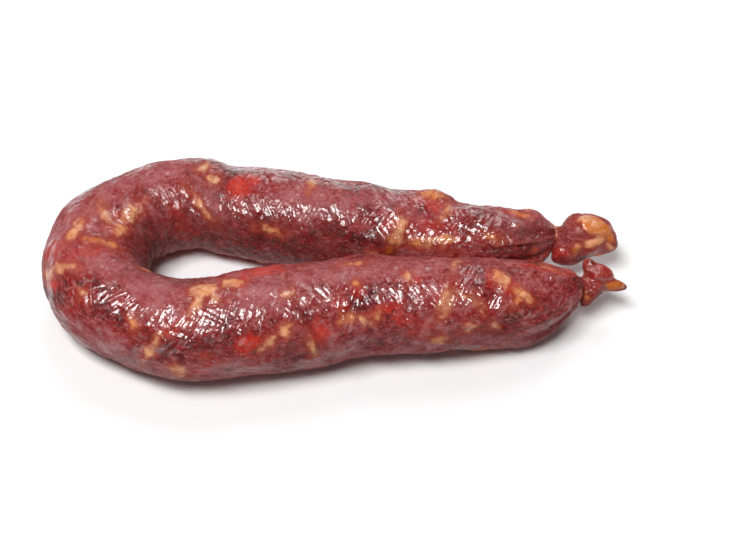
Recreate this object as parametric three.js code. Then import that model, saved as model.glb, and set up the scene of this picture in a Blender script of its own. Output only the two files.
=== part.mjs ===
// A cured sausage in one natural casing, folded back on itself like a horseshoe and lying on a table.
// The bend is at -X and both pinched ends are at +X, each with a knob of leftover casing and meat beyond it.
// Millimetres, +Z up, the table at z = 0, the long way along X.
import * as THREE from 'three';

// Driving dimensions: the middle line of the casing as x, y and its radius there,
// from the pinch of the far end, round the bend, to the pinch of the near end.
const ROUTE = [
  [77.0, 15.8, 11.4],
  [61.0, 14.2, 12.6],
  [45.0, 14.6, 13.3],
  [22.0, 17.4, 14.8],
  [-2.0, 21.0, 15.8],
  [-26.0, 24.6, 16.3],
  [-48.0, 29.6, 15.9],
  [-66.0, 26.0, 16.3],
  [-79.6, 15.0, 16.5],
  [-83.6, -1.2, 16.7],
  [-77.0, -16.1, 16.8],
  [-61.2, -24.9, 16.7],
  [-42.0, -28.4, 17.3],
  [-18.0, -23.8, 17.7],
  [8.0, -18.6, 17.0],
  [34.0, -16.6, 16.5],
  [56.0, -15.0, 14.9],
  [71.0, -11.8, 13.4],
  [83.7, -6.9, 12.0],
];
const OVAL = 0.97;            // height over width of the section
const PRESS = 1.3;            // how far the underside is pressed flat by its weight
const FAR_PINCH = { radius: 2.6, height: 14.5, taper: 15 };
const NEAR_PINCH = { radius: 3.1, height: 15.5, taper: 19 };
const TAPER_POWER = 1.6;      // how bluntly the body closes in on a pinch
const CONTACT_Y = 0.8;        // where the two legs lie against each other
const CONTACT_GAP = 0.5;      // half the gap that is left between them
const CONTACT_FROM_X = -6.0;  // the legs only come that close beyond this place

// The relief of the filling: soft lumps of meat and fat that show through the casing.
const LUMPS = {
  count: 260,
  seed: 20,
  along: [2.6, 6.2],          // least and most reach along the body
  around: [2.4, 5.4],         // least and most reach round it
  height: [-0.75, 0.95],
  fadeFrom: 3,                // the lumps fade out over this much of each end
  fadeOver: 16,
};
const CREASE_FADE_FROM = 1;
const CREASE_FADE_OVER = 6;
const TURN_RADIUS = 15;       // an angle round the body times this is its reach in millimetres

// Places round the body are angles in degrees: 0 on top, 90 outside the bend, -90 inside it, 180 underneath.
// A swelling or hollow: place along the body, angle, reach along, reach round, height.
const SWELLINGS = [
  [43, 52, 5.6, 5, 2.4],
  [32, 50, 4, 5, -0.6],
  [68, 50, 5, 6, 0.9],
  [84, 50, 4, 5, -0.5],
  [92, 50, 8, 6, 0.7],
  [107, 50, 6, 5, 0.6],
  [118, 50, 3.5, 5, -1],
  [132, 60, 8, 6, 0.6],
  [98, -130, 16, 6, 0.7],
  [172, -88, 10, 9, 2.2],
  [158, 78, 5, 6, 1.2],
  [200, 110, 9, 8, -0.5],
  [222, 130, 8, 6, -0.7],
  [245, 130, 5, 5, -0.4],
  [248, -50, 14, 7, 0.7],
  [262, 130, 8, 6, 0.7],
  [300, 130, 8, 6, -0.4],
  [155, 50, 7, 6, -0.8],
  [166, 50, 4, 5, 1.3],
  [178, 60, 5, 6, 0.5],
  [186, 72, 5, 6, -0.9],
  [195, 92, 6, 6, 0.8],
  [208, 118, 8, 6, -0.5],
  [273, 115, 9, 6, 0.7],
  [288, 120, 8, 6, -0.5],
  [46, 38, 8, 6, 0.9],
  [110, -112, 14, 6, -0.7],
  [163, -100, 6, 6, 0.8],
  [130, 50, 5, 5, -0.4],
];
// A pleat that gathers towards a pinch: as above, and the degrees that it turns by in each millimetre.
const PLEATS = [
  [14, -74, 9, 1.5, -1.1, 0.3],
  [12, -30, 6, 1.6, -0.7, 0],
  [11, 15, 6, 1.8, -0.7, 0.5],
  [12, 75, 7, 1.8, -0.9, 0],
  [12, 140, 7, 1.8, -0.8, 0],
  [11, -150, 6, 2, -0.8, 0],
  [4.5, 48, 3.5, 7, 1.4, 0],
  [346, 125, 14, 9, -0.5, 0],
  [355, 120, 6, 9, -0.9, 0],
  [350, 88, 9, 1.6, -1.2, -1.4],
  [352, -36, 8, 1.5, -1.1, 0.3],
  [353, -62, 8, 2, 0.9, 0.2],
  [352, 20, 5, 1.8, -0.5, 0],
  [352, 150, 6, 2, -0.8, 0],
  [352, -120, 7, 2, -0.9, 0],
  [3.4, 12, 2.6, 9, 2, 0],
  [12, 34, 3.2, 5, -1.3, 0],
  [347, 104, 6, 7, 1, 0],
];

// A knob is a crumpled lump round a centre. Its base radii and the directions of its lobes are given
// along the leg (+X), up the slope that leans back over the table, and out of that slope.
const SLOPE_UP = new THREE.Vector3(0, 0.766, 0.643);
const SLOPE_OUT = new THREE.Vector3(0, -0.643, 0.766);
const KNOB_JOIN = 16;         // degrees over which a knob grows out of its pinch
const FAR_KNOB = {
  centre: [87.8, 14.4, 14.8],
  base: [8.6, 7.5, 7.6],
  // direction, height, sharpness
  lobes: [
    [[-0.82, -0.57, 0.1], 5.6, 12],
    [[-0.45, -0.88, -0.1], 3, 10],
    [[-0.66, 0.7, 0.2], 1.2, 9],
    [[0.85, 0.45, 0.1], 1.2, 9],
    [[0.93, -0.36, 0], 3.3, 12],
    [[0.1, -0.6, 0.75], 0.9, 12],
    [[-0.3, 0.2, 0.9], 0.8, 12],
  ],
};
const NEAR_KNOB = {
  centre: [88.8, -6.8, 14.5],
  base: [4.6, 4.6, 4.4],
  lobes: [
    [[-0.28, 0.95, 0], 3.9, 12],
    [[0.5, 0.85, 0.1], 2, 9],
    [[0.88, 0.42, 0.1], 2.4, 12],
    [[0.98, -0.16, -0.1], 6.9, 26],
    [[-0.42, -0.88, 0.05], 4.4, 10],
    [[0.3, 0.3, 0.9], 0.8, 8],
    [[0, -0.15, 0.95], -0.9, 16],
  ],
};

// How finely the skin is divided.
const AROUND = 30;
const END_STRETCH = 10;       // the rows lie closer over this much of each end
const END_ROWS = 9;
const MIDDLE_ROWS = 130;
const KNOB_ROWS = 12;
const STEPS_PER_POINT = 200;  // for measuring along the route

const RAD = Math.PI / 180;

const clamp01 = (u) => Math.min(1, Math.max(0, u));
const smooth = (u) => clamp01(u) ** 2 * (3 - 2 * clamp01(u));
const between = ([least, most], share) => least + (most - least) * share;
const wrapAngle = (a) => a - 2 * Math.PI * Math.floor((a + Math.PI) / (2 * Math.PI));

// A repeatable stream of numbers from 0 to 1.
function makeDraw(seed) {
  let state = seed;
  return () => {
    state = (1664525 * state + 1013904223) % 2 ** 32;
    return state / 2 ** 32;
  };
}

// A smooth curve through the points of the route, the ends mirrored.
function routeAt(t) {
  const last = ROUTE.length - 1;
  const i = Math.min(Math.floor(t), last - 1);
  const f = t - i;
  const mirrored = (end, next) => ROUTE[end].map((v, k) => 2 * v - ROUTE[next][k]);
  const a = i === 0 ? mirrored(0, 1) : ROUTE[i - 1];
  const b = ROUTE[i];
  const c = ROUTE[i + 1];
  const d = i + 2 > last ? mirrored(last, last - 1) : ROUTE[i + 2];
  return b.map((_, k) => 0.5 * (
    2 * b[k] + (c[k] - a[k]) * f
    + (2 * a[k] - 5 * b[k] + 4 * c[k] - d[k]) * f ** 2
    + (3 * b[k] - a[k] - 3 * c[k] + d[k]) * f ** 3
  ));
}

// The route in short steps, with the distance walked so far.
function measureRoute() {
  const steps = (ROUTE.length - 1) * STEPS_PER_POINT;
  const places = [{ s: 0, at: routeAt(0) }];
  for (let i = 1; i <= steps; i += 1) {
    const at = routeAt(i / STEPS_PER_POINT);
    const before = places[i - 1];
    const step = Math.hypot(at[0] - before.at[0], at[1] - before.at[1]);
    places.push({ s: before.s + step, at });
  }
  return places;
}

const PLACES = measureRoute();
const LENGTH = PLACES[PLACES.length - 1].s;

// x, y and radius at a distance along the route.
function along(s) {
  let low = 0;
  let high = PLACES.length - 1;
  while (high - low > 1) {
    const middle = (low + high) >> 1;
    if (PLACES[middle].s <= s) low = middle;
    else high = middle;
  }
  const share = clamp01((s - PLACES[low].s) / (PLACES[high].s - PLACES[low].s));
  return PLACES[low].at.map((v, k) => v + (PLACES[high].at[k] - v) * share);
}

// The direction of the route, as a unit vector on the table.
function heading(s) {
  const reach = 0.5;
  const [x1, y1] = along(Math.max(s - reach, 0));
  const [x2, y2] = along(Math.min(s + reach, LENGTH));
  return new THREE.Vector3(x2 - x1, y2 - y1, 0).normalize();
}

// How full the body is at a distance from a pinch: 0 at the pinch, 1 beyond the taper.
function fullness(distance, taper) {
  const u = clamp01(distance / taper);
  return (1 - (1 - u) ** TAPER_POWER) ** (1 / TAPER_POWER);
}

function drawLumps() {
  const draw = makeDraw(LUMPS.seed);
  const lumps = [];
  for (let i = 0; i < LUMPS.count; i += 1) {
    lumps.push([
      draw() * LENGTH,
      draw() * 360 - 180,
      between(LUMPS.along, draw()),
      between(LUMPS.around, draw()),
      between(LUMPS.height, draw()),
    ]);
  }
  return lumps;
}

const LUMP_LIST = [...drawLumps(), ...SWELLINGS];

// The height of a list of soft bumps at a place s along the body and an angle round it.
function relief(bumps, s, angle) {
  let height = 0;
  for (const [place, degrees, reachAlong, reachRound, peak, turn = 0] of bumps) {
    const alongShare = (s - place) / reachAlong;
    const offAngle = wrapAngle(angle - (degrees + turn * (s - place)) * RAD);
    const roundShare = (offAngle * TURN_RADIUS) / reachRound;
    height += peak * Math.exp(-0.5 * (alongShare ** 2 + roundShare ** 2));
  }
  return height;
}

function fade(s, from, over) {
  return smooth((s - from) / over) * smooth((LENGTH - s - from) / over);
}

// A ring of the body: its points round the middle line at s.
function bodyRing(s) {
  const [x, y, radius] = along(s);
  const pinch = s < LENGTH / 2 ? FAR_PINCH : NEAR_PINCH;
  const full = fullness(s, FAR_PINCH.taper) * fullness(LENGTH - s, NEAR_PINCH.taper);
  const ringRadius = pinch.radius + (radius - pinch.radius) * full;
  const height = pinch.height + (radius * OVAL - PRESS - pinch.height) * full;
  const forward = heading(s);
  const lumpShare = fade(s, LUMPS.fadeFrom, LUMPS.fadeOver);
  const pleatShare = fade(s, CREASE_FADE_FROM, CREASE_FADE_OVER);
  const ring = [];
  for (let j = 0; j < AROUND; j += 1) {
    const angle = (2 * Math.PI * j) / AROUND;
    const reach = ringRadius
      + relief(LUMP_LIST, s, angle) * lumpShare
      + relief(PLEATS, s, angle) * pleatShare;
    const out = reach * Math.sin(angle);
    const point = new THREE.Vector3(
      x + out * forward.y,
      y - out * forward.x,
      Math.max(height + reach * OVAL * Math.cos(angle), 0),
    );
    keepLegsApart(point, s);
    ring.push(point);
  }
  return ring;
}

// Where the legs meet they press each other flat, with a hair's breadth between them.
function keepLegsApart(point, s) {
  if (point.x < CONTACT_FROM_X) return;
  if (s < LENGTH / 2) point.y = Math.max(point.y, CONTACT_Y + CONTACT_GAP);
  else point.y = Math.min(point.y, CONTACT_Y - CONTACT_GAP);
}

// How far a knob reaches from its centre in a direction.
function knobReach(knob, direction) {
  const local = new THREE.Vector3(direction.x, direction.dot(SLOPE_UP), direction.dot(SLOPE_OUT));
  const [a, b, c] = knob.base;
  let reach = 1 / Math.hypot(local.x / a, local.y / b, local.z / c);
  for (const [towards, height, sharpness] of knob.lobes) {
    const lobe = new THREE.Vector3(...towards).normalize();
    reach += height * Math.exp(sharpness * (local.dot(lobe) - 1));
  }
  return reach;
}

// The rings of a knob from just beyond its pinch to just short of its tip, and the tip.
// away is the direction out of the body, and turn keeps the angles those of the body's rings.
function knobRings(knob, pinchRing, pinchRadius, away, turn) {
  const centre = new THREE.Vector3(...knob.centre);
  const middle = new THREE.Vector3();
  pinchRing.forEach((p) => middle.addScaledVector(p, 1 / pinchRing.length));
  const side = new THREE.Vector3(away.y * turn, -away.x * turn, 0);
  const start = Math.atan2(pinchRadius, centre.distanceTo(middle));
  const pointAt = (polar, angle) => {
    const direction = away.clone().multiplyScalar(-Math.cos(polar))
      .addScaledVector(side, Math.sin(polar) * Math.sin(angle))
      .add(new THREE.Vector3(0, 0, Math.sin(polar) * Math.cos(angle)));
    return centre.clone().addScaledVector(direction, knobReach(knob, direction));
  };
  const rings = [];
  for (let i = 1; i < KNOB_ROWS; i += 1) {
    const polar = start + ((Math.PI - start) * i) / KNOB_ROWS;
    const grown = smooth((polar - start) / (KNOB_JOIN * RAD));
    rings.push(pinchRing.map((p, j) => p.clone().lerp(pointAt(polar, (2 * Math.PI * j) / AROUND), grown)));
  }
  return { rings, tip: pointAt(Math.PI, 0) };
}

// The places of the rings along the body, closer together at both ends.
function ringPlaces() {
  const places = [];
  for (let i = 0; i < END_ROWS; i += 1) places.push((END_STRETCH * i) / END_ROWS);
  const middle = LENGTH - 2 * END_STRETCH;
  for (let i = 0; i <= MIDDLE_ROWS; i += 1) places.push(END_STRETCH + (middle * i) / MIDDLE_ROWS);
  for (let i = END_ROWS - 1; i >= 0; i -= 1) places.push(LENGTH - (END_STRETCH * i) / END_ROWS);
  return places;
}

// The whole skin: a tip, rings from the far knob to the near one, and a tip.
function sausageGeometry() {
  const bodyRings = ringPlaces().map(bodyRing);
  const farAway = heading(0).negate();
  const nearAway = heading(LENGTH);
  const far = knobRings(FAR_KNOB, bodyRings[0], FAR_PINCH.radius, farAway, -1);
  const near = knobRings(NEAR_KNOB, bodyRings[bodyRings.length - 1], NEAR_PINCH.radius, nearAway, 1);
  const rings = [...far.rings.reverse(), ...bodyRings, ...near.rings];

  const points = [far.tip, ...rings.flat(), near.tip];
  const at = (ring, j) => 1 + ring * AROUND + (j % AROUND);
  const triangles = [];
  for (let j = 0; j < AROUND; j += 1) {
    triangles.push(0, at(0, j + 1), at(0, j));
    for (let i = 0; i < rings.length - 1; i += 1) {
      triangles.push(at(i, j), at(i, j + 1), at(i + 1, j));
      triangles.push(at(i, j + 1), at(i + 1, j + 1), at(i + 1, j));
    }
    triangles.push(points.length - 1, at(rings.length - 1, j), at(rings.length - 1, j + 1));
  }
  const geometry = new THREE.BufferGeometry().setFromPoints(points);
  geometry.setIndex(triangles);
  geometry.computeVertexNormals();
  return geometry;
}

const casing = new THREE.MeshStandardMaterial({ color: 0x7d3234, roughness: 0.32, metalness: 0 });
const sausage = new THREE.Mesh(sausageGeometry(), casing);
sausage.name = 'sausage';

const part = new THREE.Group();
part.add(sausage);

export default part;
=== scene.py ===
import itertools
import math

import bpy
import numpy as np
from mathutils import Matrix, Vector


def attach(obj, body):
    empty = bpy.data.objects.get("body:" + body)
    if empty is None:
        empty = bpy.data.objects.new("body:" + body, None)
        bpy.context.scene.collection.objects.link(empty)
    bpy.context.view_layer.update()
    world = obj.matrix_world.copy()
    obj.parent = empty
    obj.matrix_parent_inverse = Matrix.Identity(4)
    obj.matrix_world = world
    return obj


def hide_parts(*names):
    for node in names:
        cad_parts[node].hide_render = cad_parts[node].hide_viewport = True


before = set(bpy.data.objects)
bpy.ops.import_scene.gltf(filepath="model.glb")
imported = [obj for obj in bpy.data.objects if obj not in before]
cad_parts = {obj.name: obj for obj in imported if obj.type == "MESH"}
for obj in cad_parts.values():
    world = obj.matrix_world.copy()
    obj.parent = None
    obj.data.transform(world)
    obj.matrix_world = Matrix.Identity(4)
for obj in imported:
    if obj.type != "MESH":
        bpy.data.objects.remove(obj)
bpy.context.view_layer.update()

MM = 0.001

# The picture's camera: it looks along +Y and down at the table.
IMAGE_WIDTH, IMAGE_HEIGHT = 750, 554
CAMERA_TILT = 50.0
CAMERA_DISTANCE = 560.0
CAMERA_TARGET = np.array([14.0, 7.8, 0.0])
MM_PER_PIXEL = 0.355          # at the target
SENSOR_WIDTH = 36.0
FOCAL_PIXELS = CAMERA_DISTANCE / MM_PER_PIXEL
TILT = math.radians(CAMERA_TILT)
VIEW_RIGHT = np.array([1.0, 0.0, 0.0])
VIEW_UP = np.array([0.0, math.sin(TILT), math.cos(TILT)])
VIEW_FORWARD = np.array([0.0, math.cos(TILT), -math.sin(TILT)])
CAMERA_PLACE = CAMERA_TARGET - CAMERA_DISTANCE * VIEW_FORWARD

# The middle line of the casing as x, y and its radius there, from the pinch of the far end,
# round the bend, to the pinch of the near end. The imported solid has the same.
ROUTE = np.array([
    (77.0, 15.8, 11.4), (61.0, 14.2, 12.6), (45.0, 14.6, 13.3), (22.0, 17.4, 14.8),
    (-2.0, 21.0, 15.8), (-26.0, 24.6, 16.3), (-48.0, 29.6, 15.9), (-66.0, 26.0, 16.3),
    (-79.6, 15.0, 16.5), (-83.6, -1.2, 16.7), (-77.0, -16.1, 16.8), (-61.2, -24.9, 16.7),
    (-42.0, -28.4, 17.3), (-18.0, -23.8, 17.7), (8.0, -18.6, 17.0), (34.0, -16.6, 16.5),
    (56.0, -15.0, 14.9), (71.0, -11.8, 13.4), (83.7, -6.9, 12.0),
])
OVAL = 0.97                   # height over width of the section
PRESS = 1.3                   # how far the underside is pressed flat by its weight
FAR_PINCH = {"radius": 2.6, "height": 14.5, "taper": 15.0}
NEAR_PINCH = {"radius": 3.1, "height": 15.5, "taper": 19.0}
TAPER_POWER = 1.6             # how bluntly the body closes in on a pinch
CONTACT_Y = 0.8               # where the two legs lie against each other
CONTACT_GAP = 0.5             # half the gap that is left between them
CONTACT_FROM_X = -6.0         # the legs only come that close beyond this place
TURN_RADIUS = 15.0            # an angle round the body times this is its reach in millimetres

# Soft lumps of the filling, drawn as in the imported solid.
LUMP_COUNT, LUMP_SEED = 260, 20
LUMP_ALONG, LUMP_AROUND, LUMP_HEIGHT = (2.6, 6.2), (2.4, 5.4), (-0.75, 0.95)
LUMP_FADE = (3.0, 16.0)
PLEAT_FADE = (1.0, 6.0)

# Folds that run slantwise round the body: lean in degrees, length, width, height and seed.
SLANT_FOLDS = [(52, 9.0, 3.2, 0.34, 31), (-38, 8.0, 3.0, 0.24, 41)]
# The casing is gathered inside the bend, which is this far along the body, and pleated at the pinches.
BEND_PLACE, BEND_REACH = 165, 26
INNER_REACH = 42              # degrees either side of the inner line
GATHER_SPACING, GATHER_HEIGHT = 5.5, 0.9
PLEAT_PLACE, PLEAT_REACH, PLEAT_HEIGHT = 7, 5.5, 0.8

# Places round the body are angles: 0 on top, 90 outside the bend, -90 inside it, 180 underneath.
# A swelling or hollow: place along the body, angle, reach along, reach round, height, and, for a pleat,
# the degrees that it turns by in each millimetre.
SWELLINGS = [
    (43, 52, 5.6, 5, 2.4, 0), (32, 50, 4, 5, -0.6, 0), (68, 50, 5, 6, 0.9, 0),
    (84, 50, 4, 5, -0.5, 0), (92, 50, 8, 6, 0.7, 0), (107, 50, 6, 5, 0.6, 0),
    (118, 50, 3.5, 5, -1, 0), (132, 60, 8, 6, 0.6, 0), (98, -130, 16, 6, 0.7, 0),
    (172, -88, 10, 9, 2.2, 0), (158, 78, 5, 6, 1.2, 0), (200, 110, 9, 8, -0.5, 0),
    (222, 130, 8, 6, -0.7, 0), (245, 130, 5, 5, -0.4, 0), (248, -50, 14, 7, 0.7, 0),
    (262, 130, 8, 6, 0.7, 0), (300, 130, 8, 6, -0.4, 0),
    (155, 50, 7, 6, -0.8, 0), (166, 50, 4, 5, 1.3, 0), (178, 60, 5, 6, 0.5, 0),
    (186, 72, 5, 6, -0.9, 0), (195, 92, 6, 6, 0.8, 0), (208, 118, 8, 6, -0.5, 0),
    (273, 115, 9, 6, 0.7, 0), (288, 120, 8, 6, -0.5, 0), (46, 38, 8, 6, 0.9, 0),
    (110, -112, 14, 6, -0.7, 0), (163, -100, 6, 6, 0.8, 0), (130, 50, 5, 5, -0.4, 0),
]
PLEATS = [
    (14, -74, 9, 1.5, -1.1, 0.3), (12, -30, 6, 1.6, -0.7, 0), (11, 15, 6, 1.8, -0.7, 0.5),
    (12, 75, 7, 1.8, -0.9, 0), (12, 140, 7, 1.8, -0.8, 0), (11, -150, 6, 2, -0.8, 0),
    (4.5, 48, 3.5, 7, 1.4, 0), (346, 125, 14, 9, -0.5, 0), (355, 120, 6, 9, -0.9, 0),
    (350, 88, 9, 1.6, -1.2, -1.4), (352, -36, 8, 1.5, -1.1, 0.3), (353, -62, 8, 2, 0.9, 0.2),
    (352, 20, 5, 1.8, -0.5, 0), (352, 150, 6, 2, -0.8, 0), (352, -120, 7, 2, -0.9, 0),
    (3.4, 12, 2.6, 9, 2, 0), (12, 34, 3.2, 5, -1.3, 0), (347, 104, 6, 7, 1, 0),
]

# A knob is a crumpled lump round a centre: its base radii and its lobes (direction, height, sharpness)
# are given along +X, up a slope that leans back over the table, and out of that slope.
SLOPE = np.array([(1.0, 0.0, 0.0), (0.0, 0.766, 0.643), (0.0, -0.643, 0.766)])
KNOB_JOIN = 16.0              # degrees over which a knob grows out of its pinch
FAR_KNOB = {
    "centre": (87.8, 14.4, 14.8), "base": (8.6, 7.5, 7.6),
    "lobes": [
        ((-0.82, -0.57, 0.1), 5.6, 12), ((-0.45, -0.88, -0.1), 3, 10), ((-0.66, 0.7, 0.2), 1.2, 9),
        ((0.85, 0.45, 0.1), 1.2, 9), ((0.93, -0.36, 0), 3.3, 12), ((0.1, -0.6, 0.75), 0.9, 12),
        ((-0.3, 0.2, 0.9), 0.8, 12),
    ],
}
NEAR_KNOB = {
    "centre": (88.8, -6.8, 14.5), "base": (4.6, 4.6, 4.4),
    "lobes": [
        ((-0.28, 0.95, 0), 3.9, 12), ((0.5, 0.85, 0.1), 2, 9), ((0.88, 0.42, 0.1), 2.4, 12),
        ((0.98, -0.16, -0.1), 6.9, 26), ((-0.42, -0.88, 0.05), 4.4, 10), ((0.3, 0.3, 0.9), 0.8, 8),
        ((0, -0.15, 0.95), -0.9, 16),
    ],
}

# How finely the skin is divided.
AROUND = 176
BODY_ROWS = 500
KNOB_ROWS = 30
STEPS_PER_POINT = 200

# Marks that show through the casing, by where the picture shows them: x, y, length, width (all in
# pixels), the angle of the length above the horizontal, and how orange the fat is, from 0 cream to 1.
FAT_MARKS = [
    (106, 214, 22, 9, -58, 0.3), (134, 214, 28, 12, 50, 0.12), (121, 228, 18, 12, 40, 0.3),
    (74, 228, 25, 10, 55, 0.2), (99, 239, 34, 6, -13, 0.7), (114, 244, 12, 6, -30, 0.6),
    (57, 269, 26, 9, 20, 0.2), (46, 273, 10, 12, 0, 0.45), (82, 291, 8, 8, 0, 0.1),
    (132, 325, 14, 8, -70, 0.6), (178, 371, 20, 11, -20, 0.35), (147, 354, 28, 7, 60, 0.25),
    (198, 301, 28, 10, 68, 0.1), (203, 288, 30, 15, 15, 0.15), (215, 297, 11, 9, 0, 0.2),
    (232, 281, 22, 8, 0, 0.25), (200, 206, 34, 6, -54, 0.3), (312, 182, 11, 9, 70, 0.5),
    (203, 165, 14, 7, 20, 0.0), (268, 232, 20, 8, -15, 0.35), (284, 333, 18, 11, 30, 0.1),
    (267, 345, 20, 7, 40, 0.2), (312, 350, 20, 6, -72, 0.2), (207, 359, 4, 4, 0, 0.3),
    (288, 291, 12, 8, 20, 0.1), (434, 192, 25, 9, -12, 0.6), (449, 207, 10, 6, 60, 0.05),
    (400, 227, 26, 11, 80, 0.15), (398, 241, 18, 11, -10, 0.3), (422, 244, 32, 10, -3, 0.4),
    (444, 243, 24, 10, 8, 0.35), (516, 210, 16, 5, -15, 0.7), (492, 236, 15, 6, -12, 0.6),
    (409, 275, 11, 9, -20, 0.15), (357, 281, 7, 6, 0, 0.6), (355, 261, 18, 4, 0, 0.35),
    (458, 261, 11, 4, 80, 0.05), (502, 276, 20, 11, -50, 0.3), (524, 293, 26, 10, -30, 0.35),
    (518, 300, 14, 9, 20, 0.45), (450, 302, 33, 13, 68, 0.3), (472, 297, 14, 5, -30, 0.05),
    (480, 302, 10, 5, -60, 0.1), (347, 321, 16, 12, 30, 0.6), (378, 318, 12, 7, 60, 0.35),
    (470, 329, 13, 8, 20, 0.1), (496, 327, 7, 6, 0, 0.1), (440, 342, 14, 7, 10, 0.5),
    (363, 321, 12, 6, -30, 0.1), (212, 178, 12, 10, 0, 0.0), (593, 222, 33, 19, -28, 0.55),
    (597, 243, 24, 11, 18, 0.2), (609, 233, 24, 8, -66, 0.9), (586, 299, 8, 11, 60, 0.85),
    (616, 287, 22, 9, 10, 0.85), (578, 252, 10, 5, 40, 0.6),
    (612, 249, 9, 6, -40, 0.0), (625, 286, 6, 6, 0, 0.0),
]
# Places where paprika fat has stained the meat a clear red: x, y, length, width, angle, strength.
RED_MARKS = [
    (238, 184, 26, 20, 20, 0.9), (237, 196, 12, 14, 0, 0.5), (252, 177, 14, 8, 0, 0.8),
    (250, 345, 26, 18, 30, 0.95), (324, 333, 18, 26, 0, 0.8), (262, 268, 46, 9, 10, 0.7),
    (243, 278, 12, 9, 0, 0.7), (50, 283, 16, 12, 0, 0.9), (50, 250, 14, 22, -20, 0.5),
    (416, 277, 9, 9, 0, 0.8), (358, 290, 9, 12, 0, 0.7), (390, 308, 30, 8, 14, 0.9),
    (186, 234, 28, 20, 5, 0.45), (180, 214, 24, 12, -40, 0.4),
    (494, 274, 14, 12, -30, 0.7), (512, 287, 18, 14, -28, 0.8),
    (441, 296, 10, 18, 70, 0.7), (440, 203, 32, 16, -10, 0.55), (422, 196, 20, 10, 0, 0.4),
    (428, 226, 50, 14, 0, 0.4), (389, 224, 10, 16, 60, 0.6), (404, 322, 24, 12, 0, 0.5),
    (425, 335, 34, 18, 0, 0.35), (513, 211, 26, 8, -15, 0.5), (120, 222, 22, 16, 30, 0.7),
    (85, 250, 50, 12, 10, 0.4), (75, 300, 30, 20, 30, 0.25), (197, 372, 50, 12, 4, 0.5),
    (168, 330, 30, 14, 30, 0.4), (340, 303, 16, 14, 0, 0.5), (556, 253, 10, 22, -75, 0.55),
    (612, 240, 9, 24, 80, 0.7), (604, 232, 20, 12, -40, 0.6), (590, 251, 34, 10, 15, 0.7),
    (600, 269, 26, 18, 0, 0.45), (590, 290, 18, 22, 0, 0.4), (612, 284, 22, 9, 0, 0.6),
    (550, 267, 60, 7, -14, 0.6),
]
# Broad patches of the meat, and, low on the near leg and the bend, darker ones that are painted shade: x,
# y, length, width, angle, and a tone from -1 dark maroon to 1 pale mauve.
TONE_AND_SHADE_MARKS = [
    (150, 172, 60, 22, 15, 0.45), (290, 190, 64, 28, -5, 0.5), (345, 200, 36, 24, 0, 0.2),
    (250, 243, 90, 14, -8, -0.5), (330, 235, 60, 20, -5, -0.6), (362, 218, 30, 30, 0, 0.1),
    (388, 200, 60, 20, -8, 0.3), (470, 222, 44, 20, -10, -0.65), (515, 228, 60, 26, -15, 0.35),
    (505, 251, 70, 12, 3, -0.5), (495, 211, 50, 10, -15, 0.15), (385, 240, 30, 20, 0, -0.55),
    (80, 215, 50, 30, 45, 0.7), (60, 245, 30, 60, -15, 0.5), (95, 196, 50, 24, 45, 0.4),
    (105, 262, 60, 20, 10, 0.9), (75, 302, 60, 40, -45, -0.5),
    (112, 347, 60, 26, -35, 0.3), (150, 286, 46, 26, -10, 1.0), (172, 276, 40, 12, 0, 0.6),
    (140, 232, 26, 24, -45, -0.3), (165, 340, 50, 30, 20, -0.65), (215, 350, 70, 24, 10, -0.5),
    (188, 292, 30, 16, 0, 0.5), (250, 289, 70, 26, 5, 0.95), (300, 350, 60, 16, 8, -0.1),
    (340, 347, 40, 14, 8, 0.3), (345, 273, 90, 20, 3, 0.85), (308, 312, 24, 26, 60, -0.55),
    (400, 288, 34, 26, 0, 0.15), (405, 346, 60, 12, 3, 0.2), (440, 264, 90, 14, 0, 0.35),
    (470, 285, 40, 14, -30, -0.3), (492, 302, 34, 16, -20, -0.35), (515, 320, 60, 24, 20, -0.55),
    (545, 297, 50, 44, -40, -0.2), (480, 337, 60, 12, 4, 0.3), (350, 310, 30, 14, 20, -0.5),
    # painted shade: the next two lines darken the low outer edge
    (250, 350, 80, 28, 8, -0.35), (340, 334, 80, 26, 8, -0.35), (430, 330, 80, 24, 0, -0.4),
    (500, 325, 70, 24, 15, -0.35), (110, 335, 90, 30, -40, -0.15), (190, 350, 60, 24, 0, -0.2),
    (572, 235, 22, 36, 20, 0.4), (610, 240, 10, 24, 0, -0.4), (600, 268, 34, 24, 0, -0.5),
    (590, 290, 26, 30, 0, -0.8), (575, 258, 44, 12, -8, -0.5), (600, 268, 30, 20, 0, -0.4),
]
# Film dried to olive and grey, and, low on the near leg and the bend, grey that is painted shade: x, y,
# length, width, angle, strength.
DRY_AND_SHADE_MARKS = [
    (212, 182, 34, 26, 20, 0.7), (200, 165, 26, 14, 10, 0.5), (190, 218, 30, 16, -40, 0.2),
    (146, 268, 40, 14, -20, 0.8), (150, 240, 26, 40, 20, 0.9), (205, 243, 60, 12, -3, 0.5),
    (290, 248, 70, 10, -6, 0.4), (345, 252, 60, 7, 0, 0.8), (205, 352, 40, 14, 20, 0.4),
    (290, 352, 40, 14, 20, 0.5), (330, 205, 30, 20, 0, 0.35), (472, 332, 50, 14, 5, 0.5),
    (270, 236, 90, 22, -8, 0.4), (330, 236, 60, 20, -5, 0.45), (382, 238, 40, 14, 0, 0.4),
    (218, 226, 50, 18, -5, 0.35), (275, 283, 50, 16, 0, 0.35), (190, 275, 60, 10, 3, 0.7),
    (320, 262, 80, 8, 3, 0.4),
    # painted shade: on this line and the next two, the marks low on the near leg grey its low edge
    (528, 234, 60, 28, -12, 0.95), (235, 363, 70, 10, 4, 0.45), (302, 352, 44, 22, 10, 0.9),
    (355, 343, 60, 16, 12, 0.7),
    (420, 339, 80, 16, 3, 0.7), (490, 333, 70, 18, 8, 0.6), (545, 322, 50, 14, 35, 0.6),
    (130, 358, 70, 12, -30, 0.2), (75, 318, 60, 12, -52, 0.4), (505, 254, 70, 10, 3, 0.45),
]
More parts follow.
